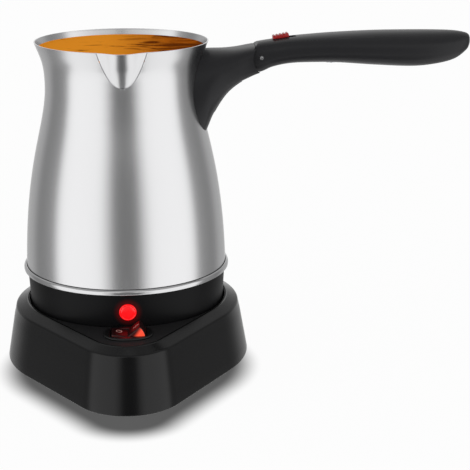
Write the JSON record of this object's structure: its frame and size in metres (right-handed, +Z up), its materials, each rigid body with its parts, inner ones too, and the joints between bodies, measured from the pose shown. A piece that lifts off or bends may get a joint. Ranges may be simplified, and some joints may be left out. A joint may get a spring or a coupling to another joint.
{
  "type": "electric coffee pot",
  "caption": "Corded power base with a round steel coffee pot that lifts off, a folding handle with a slide latch, a rocker switch and an indicator lamp.",
  "frame": {"origin": "on the pot's axis, in the plane that the base's foot ring rests on", "axes": "+X along the handle, away from the pot; -Y to the spout and the switch; +Z up"},
  "size_m": [0.2258, 0.1451, 0.1589],
  "materials": {
    "housing_black": "fine moulded texture, satin-matt",
    "handle_black": "smooth satin",
    "anti_slip_rubber": "matt",
    "brushed_pot_steel": "fine vertical satin brushing",
    "polished_bead_steel": "polished",
    "zinc_screw_steel": "zinc plated",
    "spring_wire": "drawn wire",
    "contact_brass": "stamped",
    "cast_aluminium": "as cast",
    "rocker_red": "dark translucent red, lit from below",
    "lens_red": "bright red lens, lit",
    "latch_red": "moulded red",
    "insulator_cream": "glazed insulator",
    "lamp_glass": "small lamp envelope",
    "silicone_seal": "translucent silicone"
  },
  "bodies": {
    "base": {"base_shell": "housing_black", "base_cover": "housing_black", "foot_ring": "anti_slip_rubber", "cover_screws": "zinc_screw_steel", "base_connector": "housing_black", "base_contacts": "contact_brass", "connector_screws": "zinc_screw_steel", "switch_frame": "housing_black", "switch_terminals": "contact_brass", "switch_lamp": "lamp_glass", "lead_bush": "anti_slip_rubber", "lead_clamp": "housing_black", "clamp_screws": "zinc_screw_steel"},
    "rocker": {"switch_rocker": "rocker_red"},
    "pot": {"pot_vessel": "brushed_pot_steel", "bead_ring": "polished_bead_steel", "pot_collar": "housing_black", "collar_plate": "housing_black", "collar_screws": "zinc_screw_steel", "vessel_seal": "silicone_seal", "heater_plate": "cast_aluminium", "heater_tube": "spring_wire", "thermostat": "insulator_cream", "thermal_fuse": "zinc_screw_steel", "pot_connector": "housing_black", "pot_contacts": "contact_brass", "socket_screws": "zinc_screw_steel", "indicator_lens": "lens_red", "indicator_lamp": "lamp_glass", "neck_bracket": "zinc_screw_steel", "bracket_screw": "zinc_screw_steel", "handle_neck": "handle_black", "neck_insert": "handle_black"},
    "grip": {"grip_body": "handle_black", "grip_cover": "handle_black", "grip_screws": "zinc_screw_steel", "fold_pin": "polished_bead_steel", "latch_spring": "spring_wire"},
    "latch": {"latch_button": "latch_red", "latch_bolt": "handle_black"}
  },
  "joints": [
    {"name": "pot_lift", "type": "slide", "parent": "base", "child": "pot", "axis": [0, 0, 1], "range_m": [0, 0.06]},
    {"name": "power_rock", "type": "hinge", "parent": "base", "child": "rocker", "pos_m": [0, -0.057, 0.0291], "axis": [0, 1, 0], "range_deg": [0, 30]},
    {"name": "handle_fold", "type": "hinge", "parent": "pot", "child": "grip", "pos_m": [0.0655, 0, 0.1477], "axis": [0, 1, 0], "range_deg": [0, 90]},
    {"name": "latch_slide", "type": "slide", "parent": "grip", "child": "latch", "axis": [0.9903, 0, 0.1392], "range_m": [0, 0.004], "stiffness_N_per_m": 200, "deforming": ["latch_spring"]}
  ]
}
